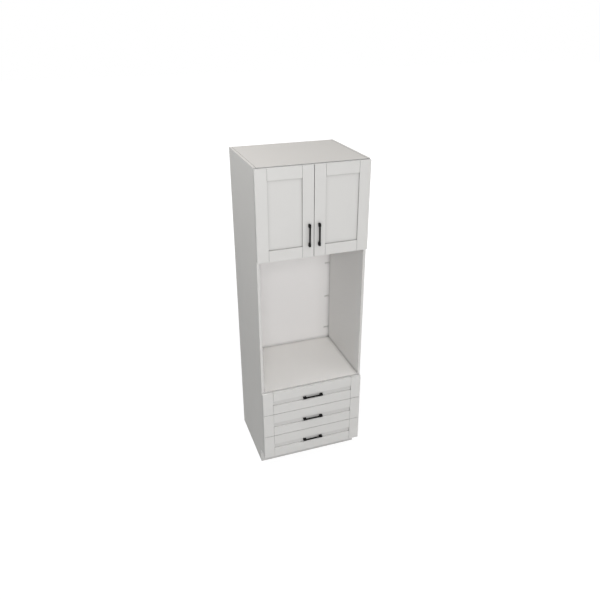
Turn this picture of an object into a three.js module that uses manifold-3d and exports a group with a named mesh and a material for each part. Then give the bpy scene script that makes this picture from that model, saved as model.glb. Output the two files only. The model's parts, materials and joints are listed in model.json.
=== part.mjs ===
// A tall kitchen unit that houses a built-in oven: a cupboard with two doors above an open
// niche, and three drawers below it. Millimetres, +Z up, +Y towards the wall. The origin is
// the middle of the unit's box, handles included, at floor level.
// Inside the cabinet group y = 0 is the plane of the carcass's front edges.
import * as THREE from 'three';
import { mergeVertices } from 'three/addons/utils/BufferGeometryUtils.js';
import Module from 'manifold-3d';

const wasm = await Module();
wasm.setup();

// Carcass
const carcassWidth = 762;
const carcassHeight = 2304;
const carcassDepth = 626;
const boardThickness = 18;
const boardChamfer = 0.8;
const thinBoardChamfer = 0.5; // sunk panels and the boards of drawer boxes
const seatGap = 0.3; // left between pieces that touch
const toeKickHeight = 114;
const toeKickRecess = 83; // front edges of the sides to the face of the toe kick board
const nicheHeight = 993;
const backThickness = 12;
const backGrooveDepth = 6;
const wallRailHeight = 100;
const wallRailThickness = 18;
const shelfSetback = 25;
const shelfPinDiameter = 5;
const shelfPinLength = 8;
const shelfPinInset = 60; // shelf edge to the pin's centre

// Doors and drawer fronts
const frontThickness = 19;
const frontGap = 3; // front edges of the carcass to the back of a front
const frontReveal = 3; // between neighbouring fronts
const frontSideInset = 1.25; // outer face of a side to the edge of a front
const frontEdgeShow = 7.5; // strip of deck and cupboard base that the fronts leave bare
const doorTopInset = 6;
const drawerCount = 3;
const drawerFrontHeight = 190;
const frameWidth = 76.2; // stiles and rails
const frameGrooveDepth = 9;
const panelThickness = 6;
const panelRecess = 8;
const jointLineDepth = 1; // V line where a stile meets a rail

// Handles
const handleCentres = 128;
const handleFootLength = 23;
const handleFootWidth = 13;
const handleBarSize = 9;
const handleProjection = 22;
const handleChamfer = 0.9;
const doorHandleRise = 151; // lower edge of a door to the middle of its handle
const doorHandleInset = 32; // inner edge of a door to its handle

// Cup hinges
const hingeEndDistance = 80; // end of a door to the hinge's centre
const cupDiameter = 35;
const cupDepth = 12.5;
const cupEdgeDistance = 5; // edge of a door to the rim of the cup
const cupWall = 1;
const cupFlangeLength = 54;
const cupFlangeWidth = 17;
const cupRimWidth = 1.5;
const hingeArmOffset = 4; // side to the arm
const hingeArmThickness = 11.5;
const hingeArmHeight = 13;
const hingeArmLength = 72; // behind the carcass's front edge
const hingePlateThickness = 4;
const hingePlateHeight = 52;
const hingePlateStart = 26;
const hingePlateWidth = 32;

// Drawer boxes and runners
const drawerSideLength = 490;
const drawerSideHeight = 118;
const drawerSideClearance = 12.5; // side of the carcass to the drawer's side
const drawerSheet = 1.5;
const drawerRim = 6;
const drawerRimLip = 8;
const drawerLedge = 13.5; // flange under the base board
const drawerBoard = 16;
const drawerBoxRise = 33; // lower edge of a front to the underside of its box
const runnerLength = 500;
const runnerSetback = 3;
const runnerSheet = 1.2;
const runnerHeight = 40;
const rollerDiameter = 16;
const rollerInset = 14; // end of a runner to its roller's centre
const rollerEndClearance = 2; // free end of a roller to the next sheet
const rollerSink = 0.5; // end of a roller inside the sheet that carries it
const runnerDrop = 1; // underside of a drawer's box to the underside of its runner
const runnerSideGap = 1; // runner to the drawer's side

// How far a cutter, or the end of a fused pin, runs past the face that it meets
const overrun = 1;

// Places that follow from the sizes above
const innerHalfWidth = carcassWidth / 2 - boardThickness;
const shelfHalfWidth = innerHalfWidth - seatGap;
const topUnderside = carcassHeight - boardThickness;
const backRear = carcassDepth - wallRailThickness - seatGap;
const backFront = backRear - backThickness;
const boardRear = backFront - seatGap;
const drawerStackTop = toeKickHeight + drawerCount * (drawerFrontHeight + frontReveal) - frontReveal;
const deckTop = drawerStackTop + frontEdgeShow;
const cupboardBaseBottom = deckTop + nicheHeight;
const cupboardBaseTop = cupboardBaseBottom + boardThickness;
const shelfBottom = (cupboardBaseTop + topUnderside - boardThickness) / 2;
const frontHalfWidth = carcassWidth / 2 - frontSideInset;
const doorBottom = cupboardBaseBottom + frontEdgeShow;
const doorHeight = carcassHeight - doorTopInset - doorBottom;
const doorWidth = frontHalfWidth - frontReveal / 2;
const panelSpan = [-frontThickness + panelRecess, -frontThickness + panelRecess + panelThickness];
const grooveSpan = [panelSpan[0] - seatGap, panelSpan[1] + seatGap];
const unitDepth = handleProjection + frontThickness + frontGap + carcassDepth;
const carcassFront = -unitDepth / 2 + handleProjection + frontThickness + frontGap;
const cupRadius = cupDiameter / 2;
const cupCentre = cupEdgeDistance + cupRadius; // from the door's hinged edge

// Heights within a drawer's group, and places along and across it
const runnerUnderside = drawerBoxRise - runnerDrop;
const rollerCentre = runnerUnderside + runnerSheet + seatGap + rollerDiameter / 2;
const runningFlange = rollerCentre + rollerDiameter / 2 + seatGap;
const drawerTop = drawerBoxRise + drawerSideHeight;
const drawerBaseBottom = drawerBoxRise + drawerSheet + seatGap;
const drawerBaseTop = drawerBaseBottom + drawerBoard;
const drawerFrontEnd = -frontGap + seatGap;
const drawerRearEnd = drawerFrontEnd + drawerSideLength;
const drawerInnerHalf = innerHalfWidth - drawerSideClearance - drawerSheet - seatGap;

const frontPaint = { color: 0xd4d3d1, roughness: 0.45, metalness: 0 };
const carcassFacing = { color: 0xcfccc6, roughness: 0.55, metalness: 0 };
const drawerFacing = { color: 0xdcdad5, roughness: 0.6, metalness: 0 };
const blackMetal = { color: 0x1b1a19, roughness: 0.42, metalness: 0.3 };
const brightSteel = { color: 0xb9babb, roughness: 0.32, metalness: 0.9 };
const coatedSteel = { color: 0xc6c8c9, roughness: 0.5, metalness: 0.2 };

const alongY = new THREE.Matrix4().makeRotationX(Math.PI / 2);
const outlineToYZ = new THREE.Matrix4().makeBasis(
  new THREE.Vector3(0, 1, 0),
  new THREE.Vector3(0, 0, 1),
  new THREE.Vector3(1, 0, 0)
);

function sorted(span) {
  return [Math.min(...span), Math.max(...span)];
}

function middle(span) {
  return (span[0] + span[1]) / 2;
}

function lengthOf(span) {
  return Math.abs(span[1] - span[0]);
}

function solidOf(geometry) {
  const bare = geometry.clone();
  bare.deleteAttribute('normal');
  bare.deleteAttribute('uv');
  const merged = mergeVertices(bare, 1e-4);
  const vertProperties = new Float32Array(merged.attributes.position.array);
  const triVerts = new Uint32Array(merged.index.array);
  return new wasm.Manifold(new wasm.Mesh({ numProp: 3, vertProperties, triVerts }));
}

function geometryOf(solid) {
  const { vertProperties, triVerts } = solid.getMesh();
  const geometry = new THREE.BufferGeometry();
  geometry.setAttribute('position', new THREE.BufferAttribute(new Float32Array(vertProperties), 3));
  geometry.setIndex(new THREE.BufferAttribute(new Uint32Array(triVerts), 1));
  geometry.computeVertexNormals();
  return geometry;
}

function meshOf(name, shape, finish) {
  const geometry = shape.isBufferGeometry ? shape : geometryOf(shape);
  const mesh = new THREE.Mesh(geometry, new THREE.MeshStandardMaterial(finish));
  mesh.name = name;
  return mesh;
}

// A closed outline pushed along local z, with all its end edges chamfered.
function chamferedExtrusion(points, depth, chamfer) {
  const outline = new THREE.Shape(points.map(([u, v]) => new THREE.Vector2(u, v)));
  const geometry = new THREE.ExtrudeGeometry(outline, {
    depth: depth - 2 * chamfer,
    bevelEnabled: chamfer > 0,
    bevelThickness: chamfer,
    bevelSize: chamfer,
    bevelOffset: -chamfer,
    bevelSegments: 1,
  });
  return geometry.translate(0, 0, chamfer - depth / 2);
}

// A box about the origin with every edge and corner cut off by the chamfer.
function chamferedBox(width, depth, height, chamfer) {
  const [a, b] = [width / 2, depth / 2];
  const points = [
    [a - chamfer, -b],
    [a, -b + chamfer],
    [a, b - chamfer],
    [a - chamfer, b],
    [-a + chamfer, b],
    [-a, b - chamfer],
    [-a, -b + chamfer],
    [-a + chamfer, -b],
  ];
  return chamferedExtrusion(points, height, chamfer);
}

function spanBox(spanX, spanY, spanZ, chamfer = 0) {
  const size = [lengthOf(spanX), lengthOf(spanY), lengthOf(spanZ)];
  const box = chamfer > 0 ? chamferedBox(...size, chamfer) : new THREE.BoxGeometry(...size);
  return box.translate(middle(spanX), middle(spanY), middle(spanZ));
}

function spanSolid(spanX, spanY, spanZ, chamfer = 0) {
  return solidOf(spanBox(spanX, spanY, spanZ, chamfer));
}

// A plain board as its own node, placed by its middle.
function board(name, finish, spanX, spanY, spanZ, chamfer = boardChamfer) {
  const box = chamferedBox(lengthOf(spanX), lengthOf(spanY), lengthOf(spanZ), chamfer);
  const mesh = meshOf(name, box, finish);
  mesh.position.set(middle(spanX), middle(spanY), middle(spanZ));
  return mesh;
}

function cylinderAlongX(radius, spanX, y, z, sides = 16) {
  const cylinder = new THREE.CylinderGeometry(radius, radius, lengthOf(spanX), sides);
  return solidOf(cylinder.rotateZ(Math.PI / 2).translate(middle(spanX), y, z));
}

function cylinderAlongY(radius, x, spanY, z, sides = 32) {
  const cylinder = new THREE.CylinderGeometry(radius, radius, lengthOf(spanY), sides);
  return solidOf(cylinder.translate(x, middle(spanY), z));
}

// A section in X and Z carried along Y.
function profileAlongY(points, spanY) {
  const geometry = chamferedExtrusion(points, lengthOf(spanY), 0);
  return geometry.applyMatrix4(alongY).translate(0, middle(spanY), 0);
}

// Carcass ---------------------------------------------------------------------------------

// One side: notched for the toe kick, grooved for the back, with the pins of the shelf.
function sidePanel(name, hand) {
  const notch = toeKickRecess + boardThickness + seatGap;
  const outline = [
    [notch, 0],
    [carcassDepth, 0],
    [carcassDepth, carcassHeight],
    [0, carcassHeight],
    [0, toeKickHeight],
    [notch, toeKickHeight],
  ];
  const half = boardThickness / 2;
  let side = solidOf(chamferedExtrusion(outline, boardThickness, boardChamfer).applyMatrix4(outlineToYZ));
  const grooveX = sorted([-hand * (half - backGrooveDepth), -hand * (half + overrun)]);
  const grooveY = [backFront - seatGap, backRear + seatGap];
  side = side.subtract(spanSolid(grooveX, grooveY, [-overrun, topUnderside]));
  const pinX = sorted([-hand * (half - overrun), -hand * (half + shelfPinLength)]);
  const pinZ = shelfBottom - seatGap - shelfPinDiameter / 2;
  for (const y of [shelfSetback + shelfPinInset, boardRear - shelfPinInset]) {
    side = side.add(cylinderAlongX(shelfPinDiameter / 2, pinX, y, pinZ, 12));
  }
  const mesh = meshOf(name, side, carcassFacing);
  mesh.position.x = hand * (carcassWidth / 2 - half);
  return mesh;
}

function crossBoard(name, bottom, spanY) {
  const spanX = [-shelfHalfWidth, shelfHalfWidth];
  return board(name, carcassFacing, spanX, spanY, [bottom, bottom + boardThickness]);
}

function wallRail(name, top) {
  const spanX = [-shelfHalfWidth, shelfHalfWidth];
  const spanY = [carcassDepth - wallRailThickness, carcassDepth];
  return board(name, carcassFacing, spanX, spanY, [top - wallRailHeight, top]);
}

function backPanel() {
  const halfWidth = innerHalfWidth + backGrooveDepth - seatGap;
  const spanZ = [toeKickHeight, topUnderside - seatGap];
  return board('back_panel', carcassFacing, [-halfWidth, halfWidth], [backFront, backRear], spanZ);
}

function toeKickBoard() {
  const spanX = [-carcassWidth / 2, carcassWidth / 2];
  const spanY = [toeKickRecess, toeKickRecess + boardThickness];
  return board('toe_kick_board', frontPaint, spanX, spanY, [0, toeKickHeight - seatGap]);
}

function carcass() {
  const group = new THREE.Group();
  group.add(
    sidePanel('side_panel_left', -1),
    sidePanel('side_panel_right', 1),
    crossBoard('top_panel', topUnderside, [0, carcassDepth]),
    crossBoard('cupboard_shelf', shelfBottom, [shelfSetback, boardRear]),
    crossBoard('cupboard_base', cupboardBaseBottom, [0, boardRear]),
    crossBoard('oven_deck', deckTop - boardThickness, [0, boardRear]),
    crossBoard('bottom_panel', toeKickHeight, [0, boardRear]),
    backPanel(),
    wallRail('wall_rail_top', topUnderside - seatGap),
    wallRail('wall_rail_middle', deckTop),
    toeKickBoard()
  );
  return group;
}

// Handles ---------------------------------------------------------------------------------

// A square bar on two feet. Its length lies along local x and its feet stand on y = 0.
function handle(name) {
  const halfWidth = handleFootWidth / 2;
  const barSpanY = [-handleProjection + seatGap, -handleProjection + seatGap + handleBarSize];
  const reach = handleCentres / 2;
  const halfBar = handleBarSize / 2;
  let solid = spanSolid([-reach, reach], barSpanY, [-halfBar, halfBar], handleChamfer);
  for (const centre of [-reach, reach]) {
    const footX = [centre - handleFootLength / 2, centre + handleFootLength / 2];
    const footY = [-handleProjection + seatGap, 0];
    solid = solid.add(spanSolid(footX, footY, [-halfWidth, halfWidth], handleChamfer));
  }
  return meshOf(name, solid, blackMetal);
}

// Doors -----------------------------------------------------------------------------------
// Inside a door's group x = 0 is its hinged edge, y = 0 its back face and z = 0 its lower
// edge. Distances across the door run towards the middle of the unit.

function stile(name, hand, acrossSpan, grooveAcross, cupHeights) {
  const across = (span) => sorted(span.map((value) => -hand * value));
  let solid = spanSolid(across(acrossSpan), [-frontThickness, 0], [0, doorHeight], boardChamfer);
  solid = solid.subtract(spanSolid(across(grooveAcross), grooveSpan, [-overrun, doorHeight + overrun]));
  for (const z of cupHeights) {
    const bore = cylinderAlongY(cupRadius + seatGap, -hand * cupCentre, [-cupDepth - seatGap, overrun], z);
    solid = solid.subtract(bore);
  }
  return meshOf(name, solid, frontPaint);
}

// A rail with a tongue at each end that fills the grooves of the stiles.
function doorRail(name, hand, edge, inward) {
  const across = (span) => sorted(span.map((value) => -hand * value));
  const body = [frameWidth + seatGap, doorWidth - frameWidth - seatGap];
  const tongueLength = frameGrooveDepth - seatGap;
  const tongue = [frameWidth - tongueLength, doorWidth - frameWidth + tongueLength];
  const heightAt = (span) => sorted(span.map((value) => edge + inward * value));
  const railZ = heightAt([0, frameWidth]);
  const tongueZ = heightAt([boardChamfer, frameWidth - frameGrooveDepth - seatGap]);
  const grooveZ = heightAt([frameWidth - frameGrooveDepth, frameWidth + overrun]);
  let solid = spanSolid(across(body), [-frontThickness, 0], railZ, boardChamfer);
  solid = solid.subtract(spanSolid(across(tongue), grooveSpan, grooveZ));
  solid = solid.add(spanSolid(across(tongue), panelSpan, tongueZ));
  return meshOf(name, solid, frontPaint);
}

function doorPanel(name, hand) {
  const edge = frameWidth - frameGrooveDepth + seatGap;
  const spanX = sorted([-hand * edge, -hand * (doorWidth - edge)]);
  return board(name, frontPaint, spanX, panelSpan, [edge, doorHeight - edge], thinBoardChamfer);
}

// The cup of a concealed hinge, let into the back of the door, with its screw flange.
function hingeCup(name, hand, z) {
  const x = -hand * cupCentre;
  const flangeY = [seatGap, seatGap + cupWall];
  const mouth = flangeY[1] + overrun;
  const half = cupFlangeWidth / 2;
  const flangeZ = [z - cupFlangeLength / 2, z + cupFlangeLength / 2];
  let cup = cylinderAlongY(cupRadius, x, [-cupDepth, flangeY[1]], z);
  cup = cup.add(cylinderAlongY(cupRadius + cupRimWidth, x, flangeY, z));
  cup = cup.add(spanSolid([x - half, x + half], flangeY, flangeZ));
  cup = cup.subtract(cylinderAlongY(cupRadius - cupWall, x, [-cupDepth + cupWall, mouth], z));
  return meshOf(name, cup, brightSteel);
}

function door(side, hand) {
  const group = new THREE.Group();
  group.position.set(hand * frontHalfWidth, -frontGap, doorBottom);
  const cupHeights = [hingeEndDistance, doorHeight - hingeEndDistance];
  const innerEdge = doorWidth - frameWidth;
  const outerGroove = [frameWidth - frameGrooveDepth, frameWidth + overrun];
  const innerGroove = [innerEdge - overrun, innerEdge + frameGrooveDepth];
  const pull = handle(`${side}_door_handle`);
  pull.rotation.y = Math.PI / 2;
  pull.position.set(-hand * (doorWidth - doorHandleInset), -frontThickness - seatGap, doorHandleRise);
  group.add(
    stile(`${side}_door_stile_outer`, hand, [0, frameWidth], outerGroove, cupHeights),
    stile(`${side}_door_stile_inner`, hand, [innerEdge, doorWidth], innerGroove, []),
    doorRail(`${side}_door_rail_bottom`, hand, 0, 1),
    doorRail(`${side}_door_rail_top`, hand, doorHeight, -1),
    doorPanel(`${side}_door_panel`, hand),
    hingeCup(`${side}_door_hinge_cup_lower`, hand, cupHeights[0]),
    hingeCup(`${side}_door_hinge_cup_upper`, hand, cupHeights[1]),
    pull
  );
  return group;
}

// The fixed half of a hinge: a plate on the side and the arm that reaches into the cup.
function hingeArm(name, hand, z) {
  const across = (span) => sorted(span.map((value) => -hand * value));
  const tip = -frontGap - cupDepth + cupWall + seatGap;
  const armX = across([hingeArmOffset, hingeArmOffset + hingeArmThickness]);
  const armZ = [-hingeArmHeight / 2, hingeArmHeight / 2];
  const plateX = across([seatGap, seatGap + hingePlateThickness]);
  const plateY = [hingePlateStart, hingePlateStart + hingePlateWidth];
  const plateZ = [-hingePlateHeight / 2, hingePlateHeight / 2];
  let solid = spanSolid(armX, [tip, hingeArmLength], armZ, boardChamfer);
  solid = solid.add(spanSolid(plateX, plateY, plateZ, boardChamfer));
  const mesh = meshOf(name, solid, brightSteel);
  mesh.position.set(hand * innerHalfWidth, 0, z);
  return mesh;
}

function hingeArms(side, hand) {
  const lower = doorBottom + hingeEndDistance;
  const upper = doorBottom + doorHeight - hingeEndDistance;
  return [
    hingeArm(`${side}_hinge_arm_lower`, hand, lower),
    hingeArm(`${side}_hinge_arm_upper`, hand, upper),
  ];
}

// Drawers ---------------------------------------------------------------------------------
// Inside a drawer's group z = 0 is the lower edge of its front. Its handle stands on the
// sunk panel.

// A front in one piece with lines where its stiles meet its rails, and a slot for its panel.
function drawerFrontFrame(name) {
  const spanY = [-frontThickness, 0];
  const half = frontHalfWidth;
  const opening = half - frameWidth;
  const openingZ = [frameWidth, drawerFrontHeight - frameWidth];
  const slot = opening + frameGrooveDepth;
  const slotZ = [openingZ[0] - frameGrooveDepth, openingZ[1] + frameGrooveDepth];
  let frame = spanSolid([-half, half], spanY, [0, drawerFrontHeight], boardChamfer);
  frame = frame.subtract(spanSolid([-opening, opening], [-frontThickness - overrun, overrun], openingZ));
  frame = frame.subtract(spanSolid([-slot, slot], grooveSpan, slotZ));
  for (const x of [-opening, opening]) {
    frame = frame.subtract(jointLine(x));
  }
  const mesh = meshOf(name, frame, frontPaint);
  mesh.position.y = -frontGap;
  return mesh;
}

// A square bar on edge that cuts a V down the face of a front.
function jointLine(x) {
  const size = jointLineDepth * Math.SQRT2;
  const bar = new THREE.BoxGeometry(size, size, drawerFrontHeight + 2 * overrun);
  bar.rotateZ(Math.PI / 4);
  return solidOf(bar.translate(x, -frontThickness, drawerFrontHeight / 2));
}

function drawerFrontPanel(name) {
  const reach = frontHalfWidth - frameWidth + frameGrooveDepth - seatGap;
  const edge = frameWidth - frameGrooveDepth + seatGap;
  const spanY = panelSpan.map((y) => y - frontGap);
  const spanZ = [edge, drawerFrontHeight - edge];
  return board(name, frontPaint, [-reach, reach], spanY, spanZ, thinBoardChamfer);
}

// A drawer's steel side: a wall with a ledge for the base, a rolled rim and, outside, the
// flange that runs on the roller. A roller of its own sits at the rear.
function drawerSide(name, hand) {
  const wall = drawerSideClearance;
  const inner = wall + drawerSheet;
  const flangeEdge = seatGap + runnerSheet + seatGap;
  const section = [
    [wall, drawerBoxRise],
    [wall + drawerLedge, drawerBoxRise],
    [wall + drawerLedge, drawerBoxRise + drawerSheet],
    [inner, drawerBoxRise + drawerSheet],
    [inner, drawerTop - drawerSheet],
    [inner + drawerRim - drawerSheet, drawerTop - drawerSheet],
    [inner + drawerRim - drawerSheet, drawerTop - drawerRimLip],
    [inner + drawerRim, drawerTop - drawerRimLip],
    [inner + drawerRim, drawerTop],
    [wall, drawerTop],
    [wall, runningFlange + drawerSheet],
    [flangeEdge, runningFlange + drawerSheet],
    [flangeEdge, runningFlange],
    [wall, runningFlange],
  ];
  const points = section.map(([across, z]) => [hand * (innerHalfWidth - across), z]);
  let side = solidOf(profileAlongY(points, [drawerFrontEnd, drawerRearEnd]));
  const rollerEnd = seatGap + runnerSheet + rollerEndClearance;
  const rollerX = sorted([wall + rollerSink, rollerEnd].map((across) => hand * (innerHalfWidth - across)));
  const rollerY = drawerRearEnd - rollerInset;
  side = side.add(cylinderAlongX(rollerDiameter / 2, rollerX, rollerY, rollerCentre));
  return meshOf(name, side, coatedSteel);
}

function drawerBase(name) {
  const spanX = [-drawerInnerHalf, drawerInnerHalf];
  const spanY = [drawerFrontEnd, drawerRearEnd];
  return board(name, drawerFacing, spanX, spanY, [drawerBaseBottom, drawerBaseTop], thinBoardChamfer);
}

function drawerBack(name) {
  const spanX = [-drawerInnerHalf, drawerInnerHalf];
  const spanY = [drawerRearEnd - drawerBoard, drawerRearEnd];
  const spanZ = [drawerBaseTop + seatGap, drawerTop - drawerRimLip - seatGap];
  return board(name, drawerFacing, spanX, spanY, spanZ, thinBoardChamfer);
}

function drawer(level, bottom) {
  const group = new THREE.Group();
  group.position.z = bottom;
  const pull = handle(`${level}_drawer_handle`);
  pull.position.set(0, panelSpan[0] - frontGap - seatGap, drawerFrontHeight / 2);
  group.add(
    drawerFrontFrame(`${level}_drawer_front_frame`),
    drawerFrontPanel(`${level}_drawer_front_panel`),
    drawerSide(`${level}_drawer_side_left`, -1),
    drawerSide(`${level}_drawer_side_right`, 1),
    drawerBase(`${level}_drawer_base`),
    drawerBack(`${level}_drawer_back`),
    pull
  );
  return group;
}

// The rail that a drawer runs in, screwed to the side, with a roller at its front.
function runner(name, hand, bottom) {
  const web = seatGap + runnerSheet;
  const flangeEdge = drawerSideClearance - runnerSideGap;
  const section = [
    [seatGap, runnerUnderside],
    [flangeEdge, runnerUnderside],
    [flangeEdge, runnerUnderside + runnerSheet],
    [web, runnerUnderside + runnerSheet],
    [web, runnerUnderside + runnerHeight],
    [seatGap, runnerUnderside + runnerHeight],
  ];
  const points = section.map(([across, z]) => [hand * (innerHalfWidth - across), z]);
  const spanY = [runnerSetback, runnerSetback + runnerLength];
  const rollerEnd = drawerSideClearance - rollerEndClearance;
  const rollerX = sorted([web - rollerSink, rollerEnd].map((across) => hand * (innerHalfWidth - across)));
  let rail = solidOf(profileAlongY(points, spanY));
  rail = rail.add(cylinderAlongX(rollerDiameter / 2, rollerX, spanY[0] + rollerInset, rollerCentre));
  const mesh = meshOf(name, rail, coatedSteel);
  mesh.position.z = bottom;
  return mesh;
}

// Assembly --------------------------------------------------------------------------------

const cabinet = new THREE.Group();
cabinet.position.y = carcassFront;
cabinet.add(carcass());
for (const [side, hand] of [['left', -1], ['right', 1]]) {
  cabinet.add(door(side, hand), ...hingeArms(side, hand));
}
for (const [step, level] of ['bottom', 'middle', 'top'].entries()) {
  const bottom = toeKickHeight + step * (drawerFrontHeight + frontReveal);
  cabinet.add(
    drawer(level, bottom),
    runner(`${level}_drawer_runner_left`, -1, bottom),
    runner(`${level}_drawer_runner_right`, 1, bottom)
  );
}

const ovenHousing = new THREE.Group();
ovenHousing.name = 'oven_housing_unit';
ovenHousing.add(cabinet);

export default ovenHousing;
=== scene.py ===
import json
import math
import bpy
import numpy as np
from mathutils import Matrix, Vector


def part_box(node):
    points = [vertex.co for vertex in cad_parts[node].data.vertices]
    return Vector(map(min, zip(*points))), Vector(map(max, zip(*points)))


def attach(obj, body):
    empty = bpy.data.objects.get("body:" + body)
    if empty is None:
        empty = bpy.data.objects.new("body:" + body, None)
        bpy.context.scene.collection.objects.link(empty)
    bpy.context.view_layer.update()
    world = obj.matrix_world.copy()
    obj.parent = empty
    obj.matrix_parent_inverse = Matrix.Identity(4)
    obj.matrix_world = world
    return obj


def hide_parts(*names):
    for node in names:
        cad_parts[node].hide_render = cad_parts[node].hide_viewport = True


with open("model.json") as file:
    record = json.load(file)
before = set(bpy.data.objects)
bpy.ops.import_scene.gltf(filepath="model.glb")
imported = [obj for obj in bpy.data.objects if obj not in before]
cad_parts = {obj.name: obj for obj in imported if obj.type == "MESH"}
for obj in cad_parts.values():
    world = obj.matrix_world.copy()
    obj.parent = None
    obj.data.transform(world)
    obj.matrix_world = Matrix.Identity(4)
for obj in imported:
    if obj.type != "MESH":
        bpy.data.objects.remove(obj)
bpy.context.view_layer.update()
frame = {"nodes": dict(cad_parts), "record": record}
nodes = frame["nodes"]
print("frame loaded:", len(nodes), "nodes")

# Solved from the unit's own straight edges; metres, in the frame of the CAD
camera = {
    "place": (-1.24725, -3.64174, 3.14056),
    "right": (0.944601, -0.328199, -0.003676),
    "up": (0.148714, 0.417982, 0.896200),
    "back": (-0.292596, -0.847098, 0.443635),
    "focalShare": 0.978049,  # focal length over the picture's width
    "sensor": 36.0,
    "nearest": 0.05,
    "furthest": 200,
}


def addCamera(spec):
    data = bpy.data.cameras.new("camera")
    data.sensor_width = spec["sensor"]
    data.lens = spec["focalShare"] * spec["sensor"]
    data.clip_start = spec["nearest"]
    data.clip_end = spec["furthest"]
    item = bpy.data.objects.new("camera", data)
    turn = Matrix((spec["right"], spec["up"], spec["back"])).transposed().to_4x4()
    item.matrix_world = Matrix.Translation(spec["place"]) @ turn
    bpy.context.scene.collection.objects.link(item)
    bpy.context.scene.camera = item


addCamera(camera)
bpy.context.scene.view_settings.view_transform = "Standard"
print("camera placed")


class Wire:
    # One output in a shader tree; arithmetic on it adds Math nodes

    def __init__(self, tree, socket=None):
        self.tree = tree
        self.socket = socket

    def make(self, kind, settings=None, feeds=None, out=0):
        node = self.tree.nodes.new("ShaderNode" + kind)
        for name, value in (settings or {}).items():
            setattr(node, name, value)
        for key, value in (feeds or {}).items():
            if isinstance(value, Wire):
                self.tree.links.new(value.socket, node.inputs[key])
            else:
                node.inputs[key].default_value = value
        return Wire(self.tree, node.outputs[out])

    def calculate(self, operation, *values, clamped=False):
        settings = {"operation": operation, "use_clamp": clamped}
        return self.make("Math", settings, dict(enumerate(values)))

    def __add__(self, other):
        return self.calculate("ADD", self, other)

    def __sub__(self, other):
        return self.calculate("SUBTRACT", self, other)

    def __rsub__(self, other):
        return self.calculate("SUBTRACT", other, self)

    def __mul__(self, other):
        return self.calculate("MULTIPLY", self, other)

    def __abs__(self):
        return self.calculate("ABSOLUTE", self)

    __radd__ = __add__
    __rmul__ = __mul__

    def atLeast(self, least):
        return self.calculate("MAXIMUM", self, least)

    def atMost(self, most):
        return self.calculate("MINIMUM", self, most)

    def below(self, edge, rim):  # 1 where the value is under the edge, 0 past the soft rim
        return self.calculate("DIVIDE", edge + rim - self, rim, clamped=True)

    def mixed(self, first, second):  # two colours, by this value
        return self.make("Mix", {"data_type": "RGBA"}, {0: self, 6: first, 7: second}, out=2)


def linear(tone):  # screen values 0 to 255 as a linear colour
    share = np.array(tone) / 255
    low = share / 12.92
    high = ((share + 0.055) / 1.055) ** 2.4
    return tuple(np.where(share <= 0.04045, low, high)) + (1.0,)


def shaded(tone, factor):  # the same tone made lighter or darker
    return linear([min(255, value * factor) for value in tone])


def startFinish(name, constants):
    material = bpy.data.materials.new(name)
    material.use_nodes = True
    tree = material.node_tree
    shader = tree.nodes["Principled BSDF"]
    for socket, value in constants.items():
        shader.inputs[socket].default_value = value
    place = Wire(tree).make("TexCoord", out="Object")
    return material, shader, place


def connect(shader, feeds):
    for key, wire in feeds.items():
        wire.tree.links.new(wire.socket, shader.inputs[key])


def noise(place, perMetre, detail=3.0, roughness=0.5):
    feeds = {"Vector": place, "Scale": perMetre, "Detail": detail, "Roughness": roughness}
    return place.make("TexNoise", None, feeds)


def bump(height, depth, strength):
    return height.make("Bump", None, {"Height": height, "Distance": depth, "Strength": strength})


def axes(vector):
    split = vector.make("SeparateXYZ", None, {0: vector})
    return [Wire(vector.tree, output) for output in split.socket.node.outputs]


def around(pattern, middle, spread):  # a pattern from 0 to 1 as a value on both sides of a middle
    return pattern * spread + (middle - spread / 2)


def variedTone(place, spec):
    pale = shaded(spec["tone"], 1 + spec["toneSpread"])
    dark = shaded(spec["tone"], 1 - spec["toneSpread"])
    return noise(place, spec["tonePerMetre"]).mixed(dark, pale)


def darkened(place, colour, share):
    feeds = {0: share, 6: colour, 7: (0.0, 0.0, 0.0, 1.0)}
    return place.make("Mix", {"data_type": "RGBA", "clamp_factor": True}, feeds, out=2)


skySamples = 8


# Painted shade: the colour is darkened where other surfaces stand close by, in corners, joints
# and gaps. With a as the free share of the sky the shade is strength * (1 - a) * creaseDark, and
# where a is under deepEdge also depth * (deepEdge - a) * deepDark.
def paintedCreaseShade(place, colour, spec, strength=1.0, depth=1.0):
    feeds = {"Distance": spec["creaseReach"]}
    free = place.make("AmbientOcclusion", {"samples": skySamples}, feeds, out="AO")
    deep = (spec["deepEdge"] - free).atLeast(0.0)
    share = (1.0 - free) * spec["creaseDark"] * strength + deep * spec["deepDark"] * depth
    return darkened(place, colour, share)


# Where the finishes change, read from the frame, apart from the sides' thickness: the box of
# a side takes in its shelf pins
sideThickness = 0.018
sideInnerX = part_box("side_panel_right")[1][0] - sideThickness
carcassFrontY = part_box("top_panel")[0][1]
topUndersideZ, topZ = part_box("top_panel")[0][2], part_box("top_panel")[1][2]
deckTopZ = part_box("oven_deck")[1][2]
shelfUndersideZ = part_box("cupboard_shelf")[0][2]
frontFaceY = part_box("left_door_stile_inner")[0][1]
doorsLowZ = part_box("left_door_stile_inner")[0][2]
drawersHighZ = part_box("top_drawer_front_frame")[1][2]

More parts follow.
